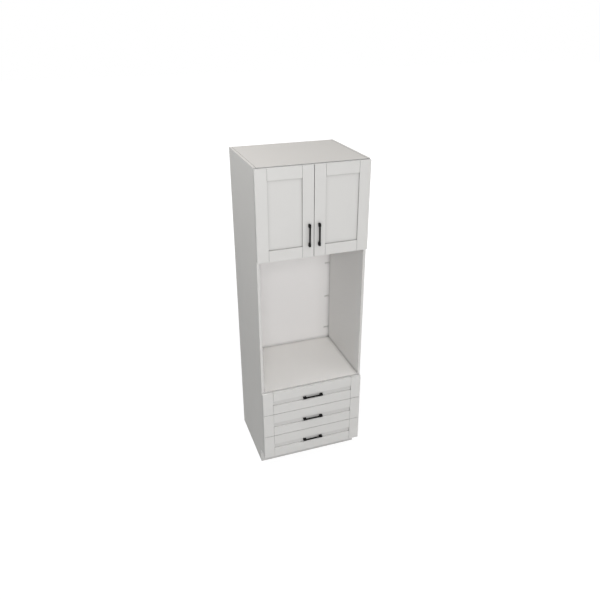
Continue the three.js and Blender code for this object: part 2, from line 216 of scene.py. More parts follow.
paint = {
    "tone": (193, 192, 190),
    "toneSpread": 0.006,
    "tonePerMetre": 4.0,
    "roughness": 0.40,
    "roughnessSpread": 0.08,
    "cloudPerMetre": 9.0,
    "peelPerMetre": 620,
    "peelDepth": 0.00005,
    "peelStrength": 0.5,
    "lowRim": 0.01,  # the drawers' shades fade out over this height above the deck
    "ledgeLitTone": (234, 233, 231),  # painted light on faces that look up, on the drawers' fronts
    "ledgeSlope": 0.8,
    "ledgeRim": 0.1,
    "sunkDepth": 0.004,  # a drawer's paint further back than this counts as its sunk panel's
    "sunkRim": 0.001,
    "sunkShade": 0.075,
    # painted shade in corners, joints and gaps
    "creaseReach": 0.028,
    "creaseDark": 0.58,
    "deepEdge": 0.45,  # free share of the sky under which a gap counts as deep
    "deepDark": 2.0,
    "lowStrength": 0.40,  # part of the crease shade left on the drawers
    "lowDepth": 0.80,  # part of the deep shade left there
}


def satinPaint(spec):
    material, shader, place = startFinish("satinPaint", {"IOR": 1.46})
    y, z = axes(place)[1:]
    low = z.below(deckTopZ, spec["lowRim"])
    sunk = low * (1.0 - y.below(frontFaceY + spec["sunkDepth"], spec["sunkRim"]))
    upward = axes(place.make("NewGeometry", out="True Normal"))[2]
    # painted light: faces that look up on the drawers' fronts take a paler tone
    ledge = low * (1.0 - upward.below(spec["ledgeSlope"], spec["ledgeRim"]))
    colour = ledge.mixed(variedTone(place, spec), linear(spec["ledgeLitTone"]))
    colour = darkened(place, colour, sunk * spec["sunkShade"])
    strength = 1.0 - low * (1.0 - spec["lowStrength"])
    depth = 1.0 - low * (1.0 - spec["lowDepth"])
    cloud = noise(place, spec["cloudPerMetre"], detail=2.0)
    peel = noise(place, spec["peelPerMetre"], detail=2.0)
    connect(shader, {
        "Base Color": paintedCreaseShade(place, colour, spec, strength, depth),
        "Roughness": around(cloud, spec["roughness"], spec["roughnessSpread"]),
        "Normal": bump(peel, spec["peelDepth"], spec["peelStrength"]),
    })
    return material


facing = {
    "tone": (184, 183, 180),
    "toneSpread": 0.008,
    "tonePerMetre": 14.0,
    # painted light: a warmer copy of the facing tone on the top
    "topLitTone": (186, 183, 179),
    "insideLitTone": (211, 209, 208),  # painted light: a paler copy of the tone, on the boards between the sides
    "wallLitTone": (217, 216, 214),  # painted light: a paler copy of the tone, on the inner faces of the sides
    # painted light: a much paler copy of the facing tone on the niche's deck
    "deckLitTone": (247, 245, 242),
    "pinTone": (150, 150, 148),
    "pinDrop": 0.0028,  # a shelf pin's middle under the shelf
    "pinRadius": 0.0030,
    "pinReach": 0.012,
    "bandTone": (190, 189, 187),  # the band glued on the front edges
    "bandThickness": 0.001,
    "seamWidth": 0.00025,  # glue line behind the band
    "seamDark": 0.82,
    "seamDepth": 0.8,
    "jointWidth": 0.0022,  # dark line where the top meets the sides
    "jointDepth": 0.0012,
    "jointDark": 0.62,
    "innerReach": 0.001,  # the inside's tones run on this far into the sides and the top
    "innerRim": 0.0005,
    "topSkin": 0.0004,  # points this near to the upper face, or to the deck's, are on it
    "deckSkin": 0.0003,
    "fineRim": 0.0001,
    "softRim": 0.0002,
    # painted shade in corners, joints and gaps
    "creaseReach": 0.030,
    "creaseDark": 0.55,
    "deepEdge": 0.45,
    "deepDark": 2.0,
    "hiddenShare": 1.3,  # strength of both shades on the edges behind the fronts
    "hiddenDrop": 0.010,  # they start this far under the drawers' upper edge
    "hiddenRim": 0.002,
    "roughness": 0.52,
    "roughnessSpread": 0.1,
    "grainPerMetre": 1500,
    "grainDepth": 0.00004,
    "grainStrength": 0.6,
}

drawerFoil = {
    "tone": (216, 214, 209),
    "toneSpread": 0.008,
    "tonePerMetre": 14.0,
    "roughness": 0.5,
    "roughnessSpread": 0.1,
    "grainPerMetre": 1800,
    "grainDepth": 0.00003,
    "grainStrength": 0.6,
}


def boardTones(place, spec):  # the carcass's tones by place: top, sides, inside, deck as lit copies of one tone (painted light), pins, with painted shade in corners
    fine, soft = spec["fineRim"], spec["softRim"]
    x, z = axes(place)[::2]
    across = abs(x)
    reach, rim = spec["innerReach"], spec["innerRim"]
    inside = across.below(sideInnerX + reach, rim) * z.below(topUndersideZ + reach, rim)
    between = across.below(sideInnerX - soft, fine)
    deck = abs(z - deckTopZ).below(spec["deckSkin"], fine) * between
    # painted light: lit copies of the one facing tone inside, on the inner walls, on the deck and
    # on top
    within = between.mixed(linear(spec["wallLitTone"]), linear(spec["insideLitTone"]))
    within = deck.mixed(within, linear(spec["deckLitTone"]))
    colour = inside.mixed(variedTone(place, spec), within)
    colour = z.below(topZ - spec["topSkin"], soft).mixed(linear(spec["topLitTone"]), colour)
    joint = abs(across - sideInnerX).below(spec["jointWidth"] / 2, soft)
    joint = joint * (topZ - z).below(spec["jointDepth"], fine)
    colour = joint.mixed(colour, shaded(spec["tone"], spec["jointDark"]))
    pin = abs(z - (shelfUndersideZ - spec["pinDrop"])).below(spec["pinRadius"], soft)
    pin = pin * between * (1.0 - across.below(sideInnerX - spec["pinReach"], soft))
    return paintedCreaseShade(place, pin.mixed(colour, linear(spec["pinTone"])), spec)


def carcassFacing(spec):
    material, shader, place = startFinish("carcassFacing", {"IOR": 1.48})
    grain = noise(place, spec["grainPerMetre"], roughness=0.6)
    fine, rim = spec["fineRim"], spec["hiddenRim"]
    y, z = axes(place)[1:]
    depth = y - carcassFrontY
    band = depth.below(spec["bandThickness"], fine)
    seam = abs(depth - spec["bandThickness"]).below(spec["seamWidth"] / 2, fine)
    behindDrawers = z.below(drawersHighZ - spec["hiddenDrop"], rim)
    bare = z.below(doorsLowZ, rim) * (1.0 - behindDrawers)
    edge = linear(spec["bandTone"])
    # painted shade on the edge bands behind the fronts, none on those in the niche
    edge = bare.mixed(paintedCreaseShade(place, edge, spec, spec["hiddenShare"], spec["hiddenShare"]), edge)
    colour = band.mixed(boardTones(place, spec), edge)
    colour = seam.mixed(colour, shaded(spec["tone"], spec["seamDark"]))
    height = grain - seam * spec["seamDepth"]
    connect(shader, {
        "Base Color": colour,
        "Roughness": around(grain, spec["roughness"], spec["roughnessSpread"]),
        "Normal": bump(height, spec["grainDepth"], spec["grainStrength"]),
    })
    return material


def grained(name, spec, constants):
    material, shader, place = startFinish(name, constants)
    grain = noise(place, spec["grainPerMetre"], roughness=0.6)
    connect(shader, {
        "Base Color": variedTone(place, spec),
        "Roughness": around(grain, spec["roughness"], spec["roughnessSpread"]),
        "Normal": bump(grain, spec["grainDepth"], spec["grainStrength"]),
    })
    return material


blackCoat = {
    "tone": (13, 12, 12),
    "toneSpread": 0.12,
    "tonePerMetre": 60.0,
    "gloss": 0.10,
    "roughness": 0.60,
    "roughnessSpread": 0.14,
    "grainPerMetre": 2600,
    "grainDepth": 0.00003,
    "grainStrength": 0.7,
}

greyCoat = {
    "tone": (196, 198, 199),
    "toneSpread": 0.01,
    "tonePerMetre": 60.0,
    "gloss": 0.5,
    "roughness": 0.38,
    "roughnessSpread": 0.14,
    "grainPerMetre": 1400,
    "grainDepth": 0.00002,
    "grainStrength": 0.7,
}

nylonWhite = {
    "tone": (226, 226, 222),
    "toneSpread": 0.01,
    "tonePerMetre": 60.0,
    "gloss": 0.5,
    "roughness": 0.45,
    "roughnessSpread": 0.14,
    "grainPerMetre": 900,
    "grainDepth": 0.00002,
    "grainStrength": 0.7,
}

rubberGrey = {
    "tone": (205, 205, 200),
    "toneSpread": 0.01,
    "tonePerMetre": 60.0,
    "gloss": 0.5,
    "roughness": 0.3,
    "roughnessSpread": 0.14,
    "grainPerMetre": 700,
    "grainDepth": 0.00001,
    "grainStrength": 0.7,
}


def coated(name, spec):
    return grained(name, spec, {"IOR": 1.5, "Specular IOR Level": spec["gloss"]})


nickel = {
    "tone": (190, 190, 188),
    "toneSpread": 0.03,
    "tonePerMetre": 90.0,
    "roughness": 0.30,
    "roughnessSpread": 0.16,
    "brushPerMetre": 900,
    "brushStretch": (1.0, 0.06, 1.0),
    "brushDepth": 0.00002,
    "brushStrength": 0.5,
}


def brushedNickel(spec):
    material, shader, place = startFinish("brushedNickel", {"Metallic": 1.0})
    stretched = place.make("Mapping", None, {"Vector": place, "Scale": spec["brushStretch"]})
    brush = noise(stretched, spec["brushPerMetre"], roughness=0.7)
    connect(shader, {
        "Base Color": variedTone(place, spec),
        "Roughness": around(brush, spec["roughness"], spec["roughnessSpread"]),
        "Normal": bump(brush, spec["brushDepth"], spec["brushStrength"]),
    })
    return material


finishes = {
    "front_paint": satinPaint(paint),
    "carcass_facing": carcassFacing(facing),
    "drawer_facing": grained("drawerFacing", drawerFoil, {"IOR": 1.48}),
    "handle_black": coated("blackCoat", blackCoat),
    "hinge_steel": brushedNickel(nickel),
    "runner_steel": coated("greyCoat", greyCoat),
}
nylon = coated("nylon", nylonWhite)
clearRubber = coated("clearRubber", rubberGrey)

for part in frame["record"]["subparts"]:
    item = nodes[part["node"]]
    item.data.materials.clear()
    item.data.materials.append(finishes[part["material_slot"]])
print("finishes on the frame:", len(finishes))


hands = {"left": -1, "right": 1}
drawerLevels = ["bottom", "middle", "top"]


def corners(node):  # a node's lowest and highest corner
    return [np.array(corner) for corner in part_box(node)]


def gridQuads(rows, columns, flipped=False):  # quads between neighbouring points of a grid
    index = np.arange(rows * columns).reshape(rows, columns)
    quad = [index[:-1, :-1], index[1:, :-1], index[1:, 1:], index[:-1, 1:]]
    if flipped:
        quad = quad[::-1]
    return np.stack(quad, axis=-1).reshape(-1, 4)


def joined(surfaces):  # several (points, quads) as one
    points, quads, start = [], [], 0
    for somePoints, someQuads in surfaces:
        points.append(somePoints.reshape(-1, 3))
        quads.append(someQuads + start)
        start += len(points[-1])
    return np.concatenate(points), np.concatenate(quads)


def outward(surface):  # a closed surface whose volume comes out negative is turned round
    points, quads = surface
    ends = [points[quads[:, k]] for k in range(4)]
    volume = sum(np.einsum("ij,ij->", ends[0], np.cross(ends[k], ends[k + 1])) for k in (1, 2))
    return (points, quads[:, ::-1]) if volume < 0 else surface


# A block with rounded edges. On each face of the box the two parameters give a point; its
# core is that point held one radius inside every face, and the skin lies one radius from the
# core in the direction of the point.
def softBox(low, high, radius, steps=3):
    low, high = np.array(low, float), np.array(high, float)
    half = (high - low) / 2
    inner = half - radius
    rim = radius * np.tan(np.linspace(0, math.pi / 4, steps + 1))
    surfaces = []
    for axis in range(3):
        first, second = (axis + 1) % 3, (axis + 2) % 3
        knots = [np.concatenate([-inner[k] - rim[::-1], inner[k] + rim]) for k in (first, second)]
        across, along = np.meshgrid(*knots, indexing="ij")
        for side in (-1, 1):
            point = np.empty(across.shape + (3,))
            point[..., axis] = side * half[axis]
            point[..., first] = across
            point[..., second] = along
            core = np.clip(point, -inner, inner)
            away = point - core
            away /= np.linalg.norm(away, axis=-1, keepdims=True)
            skin = (low + high) / 2 + core + radius * away
            surfaces.append((skin, gridQuads(*across.shape, flipped=side < 0)))
    return joined(surfaces)


def trimmed(quad):  # a quad with two corners in one place is a triangle
    return list(dict.fromkeys(quad))


mergePerMetre = 1e7  # points nearer than a step of this are one
sharpDegrees = 50


def makePiece(name, surfaces, slotName, body, replaced=(), finish=None):
    points, quads = joined(surfaces)
    keys = np.round(points * mergePerMetre).astype(np.int64)
    first, place = np.unique(keys, axis=0, return_index=True, return_inverse=True)[1:]
    quads = place.reshape(-1)[quads]
    mesh = bpy.data.meshes.new(name)
    mesh.from_pydata(points[first].tolist(), [], [trimmed(quad) for quad in quads.tolist()])
    mesh.validate()
    mesh.shade_smooth()
    mesh.set_sharp_from_angle(angle=math.radians(sharpDegrees))
    mesh.materials.append(finish or finishes[slotName])
    item = bpy.data.objects.new(name, mesh)
    bpy.context.scene.collection.objects.link(item)
    even = item.modifiers.new("evenShade", "WEIGHTED_NORMAL")
    even.keep_sharp = True
    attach(item, body)
    if replaced:
        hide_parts(*replaced)


front = {
    "edgeRadius": 0.0015,
    "innerRadius": 0.0006,
    "frameWidth": 0.0762,
    "doorJoint": 0.0008,  # open line between a rail's end and the stile
    "drawerJoint": 0.0014,
    "doorCrease": 0.0004,  # open line round a sunk panel
    "drawerCrease": 0.0002,
    "lineDepth": 0.0028,
    "tenonReach": 0.002,
    "fieldSink": 0.0002,  # a panel's field ends this far inside its sheet's back
}


# A rail between two stiles: the board itself ends a line short of each stile, and a thinner
# tenon runs on into both.
def railBoxes(low, high, gap):
    depth, reach = front["lineDepth"], front["tenonReach"]
    board = softBox(low + (gap, 0, 0), high - (gap, 0, 0), front["edgeRadius"])
    tenonLow, tenonHigh = low + (-reach, depth, reach), high + (reach, -depth, -reach)
    return [board, softBox(tenonLow, tenonHigh, front["innerRadius"])]


# A sunk panel: a field that stops a line short of the frame's opening, on a thinner sheet
# that runs on into the frame's groove. An opening is two (x, z) corners.
def sunkPanel(node, body, opening, gap):
    low, high = corners(node)
    (left, bottom), (right, top) = opening
    sheetLow = low + (0, front["lineDepth"], 0)
    fieldLow = (left + gap, low[1], bottom + gap)
    fieldHigh = (right - gap, high[1] - front["fieldSink"], top - gap)
    surfaces = [
        softBox(sheetLow, high, front["innerRadius"]),
        softBox(fieldLow, fieldHigh, front["innerRadius"]),
    ]
    makePiece(node + "_painted", surfaces, "front_paint", body, [node])


def doorFront(side):
    body = f"{side}_door"
    stiles = [corners(f"{side}_door_stile_{end}") for end in ("outer", "inner")]
    for piece, box in zip(("outer", "inner"), stiles):
        node = f"{side}_door_stile_{piece}"
        surface = softBox(*box, front["edgeRadius"])
        makePiece(node + "_painted", [surface], "front_paint", body, [node])
    left, right = sorted(stiles, key=lambda box: box[0][0])
    rails = {end: corners(f"{side}_door_rail_{end}") for end in ("top", "bottom")}
    for end, (low, high) in rails.items():
        node = f"{side}_door_rail_{end}"
        low[0], high[0] = left[1][0], right[0][0]
        surfaces = railBoxes(low, high, front["doorJoint"])
        makePiece(node + "_painted", surfaces, "front_paint", body, [node])
    opening = (left[1][0], rails["bottom"][1][2]), (right[0][0], rails["top"][0][2])
    sunkPanel(f"{side}_door_panel", body, opening, front["doorCrease"])


def drawerFront(level):
    body = f"{level}_drawer"
    node = f"{level}_drawer_front_frame"
    low, high = corners(node)
    width = front["frameWidth"]
    left, right = low[0] + width, high[0] - width
    under, over = low[2] + width, high[2] - width
    surfaces = [
        softBox(low, (left, high[1], high[2]), front["edgeRadius"]),
        softBox((right, low[1], low[2]), high, front["edgeRadius"]),
    ]
    for bottom, top in ((low[2], under), (over, high[2])):
        ends = np.array([left, low[1], bottom]), np.array([right, high[1], top])
        surfaces += railBoxes(*ends, front["drawerJoint"])
    makePiece(node + "_painted", surfaces, "front_paint", body, [node])
    opening = (left, under), (right, over)
    sunkPanel(f"{level}_drawer_front_panel", body, opening, front["drawerCrease"])


for side in hands:
    doorFront(side)
for level in drawerLevels:
    drawerFront(level)
print("fronts made")


handle = {
    "footLength": 0.023,
    "barSize": 0.009,
    "footRadius": 0.0016,
    "barRadius": 0.0012,
    "barSink": 0.004,  # end of the bar inside a foot
    "holeSpacing": 0.128,
}


def handlePiece(node, body):  # a square bar between two feet, upright or level
    low, high = corners(node)
    long = int(np.argmax(high - low))
    across = 2 - long
    middle = (low + high) / 2
    footEnd, footStart = high.copy(), low.copy()
    footEnd[long] = low[long] + handle["footLength"]
    footStart[long] = high[long] - handle["footLength"]
    barLow, barHigh = low.copy(), high.copy()
    inset = handle["footLength"] - handle["barSink"]
    barLow[long] += inset
    barHigh[long] -= inset
    barHigh[1] = low[1] + handle["barSize"]
    barLow[across] = middle[across] - handle["barSize"] / 2
    barHigh[across] = middle[across] + handle["barSize"] / 2
    surfaces = [
        softBox(low, footEnd, handle["footRadius"]),
        softBox(footStart, high, handle["footRadius"]),
        softBox(barLow, barHigh, handle["barRadius"]),
    ]
    makePiece(node + "_coated", surfaces, "handle_black", body, [node])


for side in hands:
    handlePiece(f"{side}_door_handle", f"{side}_door")
for level in drawerLevels:
    handlePiece(f"{level}_drawer_handle", f"{level}_drawer")
print("handles made")


bendShare = 0.45  # most of a run that one bend may take


# Straight runs joined by bends: near a corner the path is the parabola that leaves one run
# and joins the next at the same distance from the corner.
def bentPath(turns, radius, steps=4):
    turns = [np.array(turn, float) for turn in turns]
    share = np.linspace(0, 1, steps + 1)[:, None]
    path = [turns[0][None]]
    for before, turn, after in zip(turns, turns[1:], turns[2:]):
        reach = min(radius, *(bendShare * np.linalg.norm(end - turn) for end in (before, after)))
        start = turn + reach * (before - turn) / np.linalg.norm(before - turn)
        end = turn + reach * (after - turn) / np.linalg.norm(after - turn)
        path.append((1 - share) ** 2 * start + 2 * share * (1 - share) * turn + share**2 * end)
    path.append(turns[-1][None])
    return np.concatenate(path)


# A strip of sheet bent across and carried along y. The outline is the bent path moved half the
# thickness to either side; the second parameter runs between the two ends.
def bentSheet(turns, thickness, radius, span):
    path = bentPath(turns, radius)
    along = np.gradient(path, axis=0)
    along /= np.linalg.norm(along, axis=1, keepdims=True)
    side = np.stack([-along[:, 1], along[:, 0]], axis=1) * thickness / 2
    outline = np.concatenate([path + side, (path - side)[::-1], (path + side)[:1]])
    skin = np.empty((len(outline), 2, 3))
    skin[:, :, [0, 2]] = outline[:, None]
    skin[:, :, 1] = span
    surfaces = [(skin, gridQuads(len(outline), 2))]
    for end, place in enumerate(span):
        cap = np.empty((len(path), 2, 3))
        cap[:, 0, [0, 2]] = path + side
        cap[:, 1, [0, 2]] = path - side
        cap[..., 1] = place
        surfaces.append((cap, gridQuads(len(path), 2, flipped=end == 0)))
    return outward(joined(surfaces))


# A profile of radius and height turned about an axis through the place: the first parameter
# follows the profile, whose ends lie on the axis, and the second is the angle.
def turned(profile, place, axis, steps=40):
    radius, height = np.array(profile, float).T
    angle = np.linspace(0, 2 * math.pi, steps + 1)
    points = np.empty((len(radius), len(angle), 3))
    points[..., axis] = height[:, None]
    points[..., (axis + 1) % 3] = radius[:, None] * np.cos(angle)
    points[..., (axis + 2) % 3] = radius[:, None] * np.sin(angle)
    quads = gridQuads(len(radius), len(angle))
    return outward((points.reshape(-1, 3) + np.array(place), quads))


domeRim = 0.35  # share of a dome's height that stands straight at its rim
headRings = np.concatenate([np.linspace(0, 0.72, 13), [0.8, 0.88, 0.94, 0.98, 1.0]])
slotMouth = 1.5  # a slot's wall meets the dome this many half widths from the slot's middle


# A screw's head on the parameters radius r and angle: a dome of height
# rise * (domeRim + (1 - domeRim) * (1 - (r / R)^2)^0.5), sunk in two crossed slots.
def screwHead(place, axis, direction, spec, steps=48):
    rise, share = spec["rise"], headRings
    angle = np.linspace(0, 2 * math.pi, steps + 1) + math.pi / 7  # off the slots' edges
    first = spec["radius"] * share[:, None] * np.cos(angle)
    second = spec["radius"] * share[:, None] * np.sin(angle)
    dome = rise * (domeRim + (1 - domeRim) * np.sqrt(1 - share**2))[:, None]
    half = spec["slotWidth"] / 2
    slots = []
    for one, other in ((first, second), (second, first)):
        inside = np.clip((half * slotMouth - abs(one)) / half, 0, 1)
        slots.append(inside * np.clip((spec["slotReach"] - abs(other)) / half, 0, 1))
    height = dome - spec["slotDepth"] * np.maximum(*slots)
    points = np.zeros((len(share) + 2, len(angle), 3))  # two more rings: the rim's foot, the seat
    points[:-2, :, axis] = height * direction
    points[:-2, :, (axis + 1) % 3] = first
    points[:-2, :, (axis + 2) % 3] = second
    points[-2, :, (axis + 1) % 3] = first[-1]
    points[-2, :, (axis + 2) % 3] = second[-1]
    quads = gridQuads(len(share) + 2, len(angle))
    return outward((points.reshape(-1, 3) + np.array(place), quads))


hingeScrew = {
    "radius": 0.0038,
    "rise": 0.0016,
    "slotWidth": 0.0009,
    "slotDepth": 0.0009,
    "slotReach": 0.0026,
}

hingeCup = {
    "diameter": 0.035,
    "wall": 0.001,
    "bend": 0.003,
    "lipInset": 0.0003,
    "lipDrop": 0.0002,
    "flangeRadius": 0.019,
    "flangeRise": 0.001,
    "flangeEdge": 0.0003,
    "flangeLap": 0.0004,  # the flange reaches this far in over the cup's wall
    "wingWidth": 0.017,
    "wingLength": 0.054,
    "wingPower": 6,
    "joinPower": 14,
    "screwOffset": 0.0225,
}


# The cup's flange, a flat ring. Its outer edge goes by the angle: a bar with rounded corners
# has the radius (|cos / w|^p + |sin / l|^p)^(-1/p), with w and l its half width and length and p
# the wing power, and the edge is (circle^j + bar^j)^(1/j), close to the larger of the two.
def cupFlange(place, spec, steps=120):
    power, join = spec["wingPower"], spec["joinPower"]
    angle = np.linspace(0, 2 * math.pi, steps + 1)
    across = abs(np.cos(angle)) / (spec["wingWidth"] / 2)
    along = abs(np.sin(angle)) / (spec["wingLength"] / 2)
    bar = 1 / (across**power + along**power) ** (1 / power)
    outer = (spec["flangeRadius"] ** join + bar**join) ** (1 / join)
    mouth = np.full_like(angle, spec["diameter"] / 2 - spec["flangeLap"])
    rise, edge = spec["flangeRise"], spec["flangeEdge"]
    radius = np.stack([mouth, mouth, outer - edge, outer, outer, mouth])
    height = np.array([0, rise, rise, rise - edge, 0, 0])
    points = np.empty(radius.shape + (3,))
    points[..., 0] = radius * np.cos(angle)
    points[..., 1] = height[:, None]
    points[..., 2] = radius * np.sin(angle)
    return outward((points.reshape(-1, 3) + np.array(place), gridQuads(*radius.shape)))


def footBend(radius, height, bend):  # a quarter circle from a floor into a wall of that radius
    swing = np.linspace(0, math.pi / 2, 6)
    return [*zip(radius - bend * (1 - np.sin(swing)), height + bend * (1 - np.cos(swing)))]


def addHingeCup(side, end):
    node = f"{side}_door_hinge_cup_{end}"
    low, high = corners(node)
    centre = (low + high) / 2
    top = high[1]
    back = top - hingeCup["flangeRise"]
    outer = hingeCup["diameter"] / 2
    inner, floor = outer - hingeCup["wall"], low[1] + hingeCup["wall"]
    inset, drop = hingeCup["lipInset"], hingeCup["lipDrop"]
    outside = footBend(outer, low[1], hingeCup["bend"])
    inside = footBend(inner, floor, hingeCup["bend"])
    lip = [(outer, top - drop), (outer - inset, top), (inner + inset, top), (inner, top - drop)]
    profile = [(0, low[1])] + outside + lip + inside[::-1] + [(0, floor)]
    surfaces = [
        turned(profile, (centre[0], 0, centre[2]), 1, 64),
        cupFlange((centre[0], back, centre[2]), hingeCup),
    ]
    for way in (-1, 1):
        place = (centre[0], top, centre[2] + way * hingeCup["screwOffset"])
        surfaces.append(screwHead(place, 1, 1, hingeScrew))
    makePiece(node + "_pressed", surfaces, "hinge_steel", f"{side}_door", [node])


# The tables go by the distance behind the carcass's front: first the arm's height there, then
# the distance of its two faces from the side panel
hingeArm = {
    "heights": {
        -0.0142: 0.0085,
        -0.004: 0.0095,
        0.006: 0.0105,
        0.012: 0.013,
        0.069: 0.013,
        0.072: 0.011,
    },
    "nearFace": {-0.0142: 0.0075, 0.001: 0.0065, 0.012: 0.004, 0.072: 0.004},
    "farFace": {-0.0142: 0.0125, -0.009: 0.0145, 0.006: 0.0155, 0.069: 0.0155, 0.072: 0.0145},
    "moreStations": (-0.0125, 0.03, 0.055),
    "roundness": 0.28,
    "plateFaces": (0.0003, 0.0043),  # distance from the side panel
    "plateEnds": (0.026, 0.058),
    "plateRadius": 0.0012,
    "plateScrewPlace": 0.042,
    "plateScrewOffset": 0.018,
    "adjustScrewPlaces": (0.024, 0.058),
}


def taper(distance, table):  # straight between the named distances
    return np.interp(distance, list(table), list(table.values()))


# The arm is one body carried along its stations. Its section is a rectangle with rounded
# corners: cosine and sine of the angle, each to the power of the roundness, times half the
# depth and half the height. A last ring at each end closes it in the middle.
def addHingeArm(side, end, steps=24):
    node = f"{side}_hinge_arm_{end}"
    low, high = corners(node)
    hand = hands[side]
    wall = sideInnerX * hand
    middle = (low[2] + high[2]) / 2
    tables = [hingeArm[table] for table in ("heights", "nearFace", "farFace")]
    stations = np.array(sorted({*hingeArm["moreStations"]}.union(*tables)))
    height, near, far = [taper(stations, table) for table in tables]
    angle = np.linspace(0, 2 * math.pi, steps + 1) + math.pi / steps
    across = np.sign(np.cos(angle)) * abs(np.cos(angle)) ** hingeArm["roundness"]
    rise = np.sign(np.sin(angle)) * abs(np.sin(angle)) ** hingeArm["roundness"]
    points = np.empty((len(stations) + 2, steps + 1, 3))
    points[1:-1, :, 0] = (near + far)[:, None] / 2 + (far - near)[:, None] / 2 * across
    points[1:-1, :, 0] = wall - hand * points[1:-1, :, 0]
    points[1:-1, :, 1] = carcassFrontY + stations[:, None]
    points[1:-1, :, 2] = middle + height[:, None] / 2 * rise
    for row, source in ((0, 1), (-1, -2)):
        points[row] = points[source].mean(axis=0)
    body = outward((points.reshape(-1, 3), gridQuads(len(stations) + 2, steps + 1)))
    plateX = sorted(wall - hand * distance for distance in hingeArm["plateFaces"])
    plateY = [carcassFrontY + distance for distance in hingeArm["plateEnds"]]
    plate = softBox(
        (plateX[0], plateY[0], low[2]),
        (plateX[1], plateY[1], high[2]),
        hingeArm["plateRadius"],
    )
    surfaces = [body, plate]
    for way in (-1, 1):
        place = (
            wall - hand * hingeArm["plateFaces"][1],
            carcassFrontY + hingeArm["plateScrewPlace"],
            middle + way * hingeArm["plateScrewOffset"],
        )
        surfaces.append(screwHead(place, 0, -hand, hingeScrew))
    for distance in hingeArm["adjustScrewPlaces"]:
        back = wall - hand * taper(distance, hingeArm["farFace"])
        surfaces.append(screwHead((back, carcassFrontY + distance, middle), 0, -hand, hingeScrew))
    makePiece(node + "_pressed", surfaces, "hinge_steel", "carcass", [node])


for side in hands:
    for end in ("lower", "upper"):
        addHingeCup(side, end)
        addHingeArm(side, end)
print("hinges made")


roller = {
    "radius": 0.008,
    "width": 0.0072,
    "rim": 0.0008,
    "grooveDepth": 0.0008,
    "grooveShare": 0.45,  # share of the half width that the groove's slope takes
    "hubSink": 0.0012,
    "hubShare": 0.45,  # radius of the sunk hub's floor over the roller's
    "hubEdgeShare": 0.52,
    "gap": 0.0003,  # under the roller, over the runner's ledge
    "inset": 0.014,  # axle from the end of its rail
}

rivetHead = {
    "radius": 0.0028,
    "edge": 0.0003,
    "shoulder": 0.0009,
    "shoulderShare": 0.8,  # radius there over the head's
    "rise": 0.0011,
    "topShare": 0.4,
}

runner = {
    "sheet": 0.0012,
    "bend": 0.0014,
    "wallGap": 0.0003,
    "ledgeReach": 0.0115,  # from the side panel to the ledge's free edge
    "screwPlaces": (0.040, 0.232, 0.450),
    "screwDrop": 0.009,
    "rollerGap": 0.0008,
}

drawerBox = {
    "sheet": 0.0015,
    "bend": 0.0016,
    "sideGap": 0.0125,  # from the side panel to the drawer's steel side
    "ledge": 0.0135,
    "rim": 0.006,
    "rimLip": 0.008,
    "flangeRise": 0.0178,  # the rail's flange over the side's lower edge
    "flangeHeight": 0.014,
    "flangeGap": 0.0001,
    "flangeInset": 0.0018,
    "boardRadius": 0.0008,
    "bracketWidth": 0.020,
    "bracketHeight": 0.062,
    "bracketSheet": 0.0016,
    "bracketRadius": 0.0006,
    "bracketGap": 0.0005,
    "bracketDrop": 0.012,
    "bracketScrewInset": 0.012,
    "bracketScrewDrops": (0.012, 0.050),
    "rollerOffset": 0.0052,  # middle of the roller, out from the side
}


# A grooved wheel with rounded rims and a sunk hub; the profile runs over one face to the
# groove's bottom and comes back mirrored over the other
def wheel(place, spec):
    half, radius, rim = spec["width"] / 2, spec["radius"], spec["rim"]
    hub = -half + spec["hubSink"]
    profile = [
        (0, hub),
        (radius * spec["hubShare"], hub),
        (radius * spec["hubEdgeShare"], -half),
        (radius - rim, -half),
        (radius, -half + rim),
        (radius, -half * spec["grooveShare"]),
        (radius - spec["grooveDepth"], 0),
    ]
    profile += [(reach, -height) for reach, height in profile[-2::-1]]
    return turned(profile, place, 0)


def rivet(place, hand, spec):  # a low button: straight edge, slanted shoulder, flat top
    radius, rise = spec["radius"], spec["rise"]
    shoulder = (radius * spec["shoulderShare"], spec["shoulder"])
    edge = [(0, 0), (radius, 0), (radius, spec["edge"]), shoulder]
    profile = edge + [(radius * spec["topShare"], rise), (0, rise)]
    return turned([(reach, -hand * height) for reach, height in profile], place, 0, 24)


def addRoller(node, body, axle, hand):  # with a rivet in the face on the given hand's side
    makePiece(node + "_roller", [wheel(axle, roller)], "runner_steel", body, finish=nylon)
    pin = (axle[0] - hand * (roller["width"] / 2 - roller["hubSink"]), axle[1], axle[2])
    makePiece(node + "_rivet", [rivet(pin, hand, rivetHead)], "hinge_steel", body)


def rollerZ(level):
    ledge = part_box(f"{level}_drawer_runner_left")[0][2] + runner["sheet"]
    return ledge + roller["gap"] + roller["radius"]


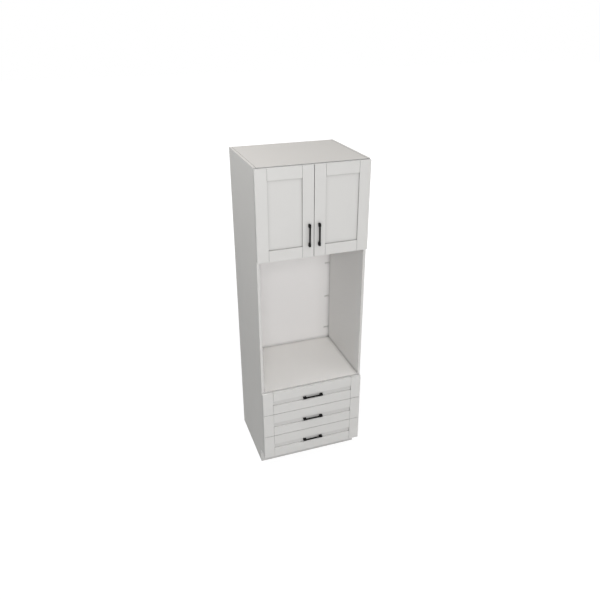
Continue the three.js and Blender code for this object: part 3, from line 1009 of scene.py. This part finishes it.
def addDrawerSide(level, side):
    node = f"{level}_drawer_side_{side}"
    low, high = corners(node)
    hand, sheet = hands[side], drawerBox["sheet"]
    outer = sideInnerX - drawerBox["sideGap"]
    middle, rim = outer - sheet / 2, outer - sheet / 2 - drawerBox["rim"]
    floor, top = low[2] + sheet / 2, high[2] - sheet / 2
    wall = [
        (outer - drawerBox["ledge"], floor),
        (middle, floor),
        (middle, top),
        (rim, top),
        (rim, high[2] - drawerBox["rimLip"]),
    ]
    flangeX = outer + sheet / 2 + drawerBox["flangeGap"]
    flangeZ = low[2] + drawerBox["flangeRise"] + sheet / 2
    flange = [
        (flangeX, flangeZ + drawerBox["flangeHeight"]),
        (flangeX, flangeZ),
        (sideInnerX - drawerBox["flangeInset"], flangeZ),
    ]
    mirror, span = (hand, 1), (low[1], high[1])
    surfaces = [
        bentSheet(np.array(turns) * mirror, sheet, drawerBox["bend"], span)
        for turns in (wall, flange)
    ]
    inside = outer - sheet
    plateX = sorted(hand * (inside - drawerBox[edge]) for edge in ("bracketGap", "bracketWidth"))
    plateY = low[1] + drawerBox["bracketSheet"]
    plateZ = high[2] - drawerBox["bracketDrop"]
    plateLow = (plateX[0], low[1], plateZ - drawerBox["bracketHeight"])
    surfaces.append(softBox(plateLow, (plateX[1], plateY, plateZ), drawerBox["bracketRadius"]))
    for drop in drawerBox["bracketScrewDrops"]:
        place = (hand * (inside - drawerBox["bracketScrewInset"]), plateY, plateZ - drop)
        surfaces.append(screwHead(place, 1, 1, hingeScrew))
    makePiece(node + "_bent", surfaces, "runner_steel", f"{level}_drawer", [node])
    axle = (hand * (outer + drawerBox["rollerOffset"]), high[1] - roller["inset"], rollerZ(level))
    addRoller(node, f"{level}_drawer", axle, -hand)


def addDrawerRunner(level, side):
    node = f"{level}_drawer_runner_{side}"
    low, high = corners(node)
    hand, sheet = hands[side], runner["sheet"]
    web = sideInnerX - runner["wallGap"] - sheet / 2
    turns = [
        (hand * (sideInnerX - runner["ledgeReach"]), low[2] + sheet / 2),
        (hand * web, low[2] + sheet / 2),
        (hand * web, high[2]),
    ]
    face = web - sheet / 2
    surfaces = [bentSheet(turns, sheet, runner["bend"], (low[1], high[1]))]
    for distance in runner["screwPlaces"]:
        place = (hand * face, low[1] + distance, high[2] - runner["screwDrop"])
        surfaces.append(screwHead(place, 0, -hand, hingeScrew))
    makePiece(node + "_bent", surfaces, "runner_steel", "carcass", [node])
    axleX = hand * (face - runner["rollerGap"] - roller["width"] / 2)
    addRoller(node, "carcass", (axleX, low[1] + roller["inset"], rollerZ(level)), hand)


def addDrawerBoard(level, part):
    node = f"{level}_drawer_{part}"
    board = softBox(*corners(node), drawerBox["boardRadius"])
    makePiece(node + "_painted", [board], "drawer_facing", f"{level}_drawer", [node])


for level in drawerLevels:
    for side in hands:
        addDrawerSide(level, side)
        addDrawerRunner(level, side)
    for part in ("base", "back"):
        addDrawerBoard(level, part)
print("drawer boxes made")


buffer = {
    "radius": 0.004,
    "rise": 0.0024,
    "bulge": 0.6,  # under 1 makes the dome fuller than a sphere's
    "sideInset": 0.014,  # from the middle of the unit
    "endInset": 0.0055,
}

handleScrew = {
    "radius": 0.0040,
    "rise": 0.0021,
    "slotWidth": 0.0010,
    "slotDepth": 0.0011,
    "slotReach": 0.0027,
}


# A soft dome: with a from 0 to a right angle the radius is R * cos(a)^bulge, and the height
# is rise * (domeRim + (1 - domeRim) * sin(a)).
def bufferDome(place, spec):
    swing = np.linspace(0, math.pi / 2, 7)
    radius = spec["radius"] * np.cos(swing) ** spec["bulge"]
    height = spec["rise"] * (domeRim + (1 - domeRim) * np.sin(swing))
    dome = [*zip(radius, height)][:-1]
    return turned([(0, 0), (spec["radius"], 0)] + dome + [(0, spec["rise"])], place, 1, 24)


def addHandleScrews(body, backY, axis):  # through the front, into the handle's two feet
    low, high = corners(body + "_handle")
    heads = []
    for way in (-1, 1):
        place = (low + high) / 2
        place[1] = backY
        place[axis] += way * handle["holeSpacing"] / 2
        heads.append(screwHead(place, 1, 1, handleScrew))
    makePiece(body + "_handle_screws", heads, "hinge_steel", body)


def addDoorFittings(side):
    body = f"{side}_door"
    low, high = corners(f"{side}_door_stile_inner")
    x = hands[side] * buffer["sideInset"]
    heights = low[2] + buffer["endInset"], high[2] - buffer["endInset"]
    domes = [bufferDome((x, high[1], z), buffer) for z in heights]
    makePiece(body + "_buffers", domes, "front_paint", body, finish=clearRubber)
    addHandleScrews(body, high[1], 2)


backClip = {
    "heights": (0.791, 1.073, 1.361),
    "length": 0.038,
    "height": 0.008,
    "thickness": 0.003,
    "gap": 0.0015,
    "radius": 0.0008,
}

clipScrew = {
    "radius": 0.0032,
    "rise": 0.0014,
    "slotWidth": 0.0008,
    "slotDepth": 0.0008,
    "slotReach": 0.0022,
}


# Small clips in the niche hold the back panel, three to a side
def addBackClips(side):
    hand = hands[side]
    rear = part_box("back_panel")[0][1]
    near = sideInnerX - backClip["gap"]
    ends = sorted([hand * near, hand * (near - backClip["length"])])
    plates, heads = [], []
    for z in backClip["heights"]:
        low = (ends[0], rear - backClip["thickness"], z - backClip["height"] / 2)
        high = (ends[1], rear, z + backClip["height"] / 2)
        plates.append(softBox(low, high, backClip["radius"]))
        middle = hand * (near - backClip["length"] / 2)
        heads.append(screwHead((middle, low[1], z), 1, -1, clipScrew))
    makePiece(f"{side}_back_clips", plates, "hinge_steel", "carcass")
    makePiece(f"{side}_back_clip_screws", heads, "hinge_steel", "carcass")


for side in hands:
    addDoorFittings(side)
    addBackClips(side)
for level in drawerLevels:
    addHandleScrews(f"{level}_drawer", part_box(f"{level}_drawer_front_panel")[1][1], 0)
print("fittings made")


studio = {
    "floorReach": 30.0,
    "floorDrop": 0.0004,
    "floorTone": 0.80,
    "white": 1.14,  # strength of the floor's own white, as the camera sees it
    "nearShare": 0.80,  # share of that white round the unit; the rest takes its shadow
    "nearReach": 1.6,
    "nearRim": 2.5,
}

lamps = {
    "nearCamera": {"place": (-1.6, -4.7, 3.75), "aim": (0, 0, 1.3), "size": 1.2, "watts": 72},
    "overhead": {"place": (0, -0.5, 6.5), "aim": (0, -0.5, 0), "size": 8.0, "watts": 196},
    "left": {"place": (-6, -1, 4.2), "aim": (0, -1, 2.8), "size": 5.0, "watts": 41.5},
    "frontLow": {"place": (-1.5, -8, 1.3), "aim": (0, 0, 1.2), "size": 2.2, "watts": 130},
    "leftOverhead": {"place": (-1.6, 0.2, 4), "aim": (0, 0, 1.2), "size": 1.6, "watts": 32},
    "rightHigh": {"place": (4, -3.5, 5), "aim": (0, 0, 1.2), "size": 3.0, "watts": 49},
    "behind": {"place": (1.5, 9, 1.25), "aim": (0, 0, 1.2), "size": 2.0, "watts": 160},
    "rightRear": {"place": (8, 2, 1.25), "aim": (0, 0.3, 1.2), "size": 2.0, "watts": 110},
    "front": {"place": (0, -9, 2.6), "aim": (0, 0, 1.6), "size": 4.5, "watts": 234},
}


def addLamp(name, spec):
    data = bpy.data.lights.new(name, "AREA")
    data.size = spec["size"]
    data.energy = spec["watts"]
    item = bpy.data.objects.new(name + "Lamp", data)
    aim = Vector(spec["aim"]) - Vector(spec["place"])
    turn = aim.to_track_quat("-Z", "Y").to_matrix().to_4x4()
    item.matrix_world = Matrix.Translation(spec["place"]) @ turn
    bpy.context.scene.collection.objects.link(item)


def seenDirectly(wire):  # 1 for what the camera sees, also in metal and through glass
    kinds = ("Camera", "Glossy", "Transmission")
    straight, mirrored, through = [wire.make("LightPath", out=f"Is {kind} Ray") for kind in kinds]
    return (straight + mirrored + through).atMost(1.0)


def addFloor(spec):
    reach = spec["floorReach"]
    mesh = bpy.data.meshes.new("floor")
    outline = [(-reach, -reach), (reach, -reach), (reach, reach), (-reach, reach)]
    mesh.from_pydata([(x, y, -spec["floorDrop"]) for x, y in outline], [], [(0, 1, 2, 3)])
    item = bpy.data.objects.new("floor", mesh)
    bpy.context.scene.collection.objects.link(item)
    material = bpy.data.materials.new("paleFloor")
    material.use_nodes = True
    tree = material.node_tree
    tree.nodes.remove(tree.nodes["Principled BSDF"])
    wire = Wire(tree)
    matt = wire.make("BsdfDiffuse", None, {"Color": (spec["floorTone"],) * 3 + (1.0,)})
    glow = wire.make("Emission", None, {"Color": (1, 1, 1, 1), "Strength": spec["white"]})
    place = wire.make("TexCoord", out="Object")
    away = wire.make("VectorMath", {"operation": "LENGTH"}, {0: place}, out="Value")
    near = away.below(spec["nearReach"], spec["nearRim"])
    seen = seenDirectly(wire) * (1.0 - near * (1.0 - spec["nearShare"]))
    surface = wire.make("MixShader", None, {0: seen, 1: matt, 2: glow})
    tree.links.new(surface.socket, tree.nodes["Material Output"].inputs["Surface"])
    mesh.materials.append(material)


def addWorld():  # white to look at, and no light from it
    world = bpy.data.worlds.new("studio")
    world.use_nodes = True
    bpy.context.scene.world = world
    tree = world.node_tree
    background = tree.nodes["Background"]
    background.inputs["Color"].default_value = (1, 1, 1, 1)
    tree.links.new(seenDirectly(Wire(tree)).socket, background.inputs["Strength"])


for name, spec in lamps.items():
    addLamp(name, spec)
addFloor(studio)
addWorld()
print("studio lit:", len(lamps), "lamps")
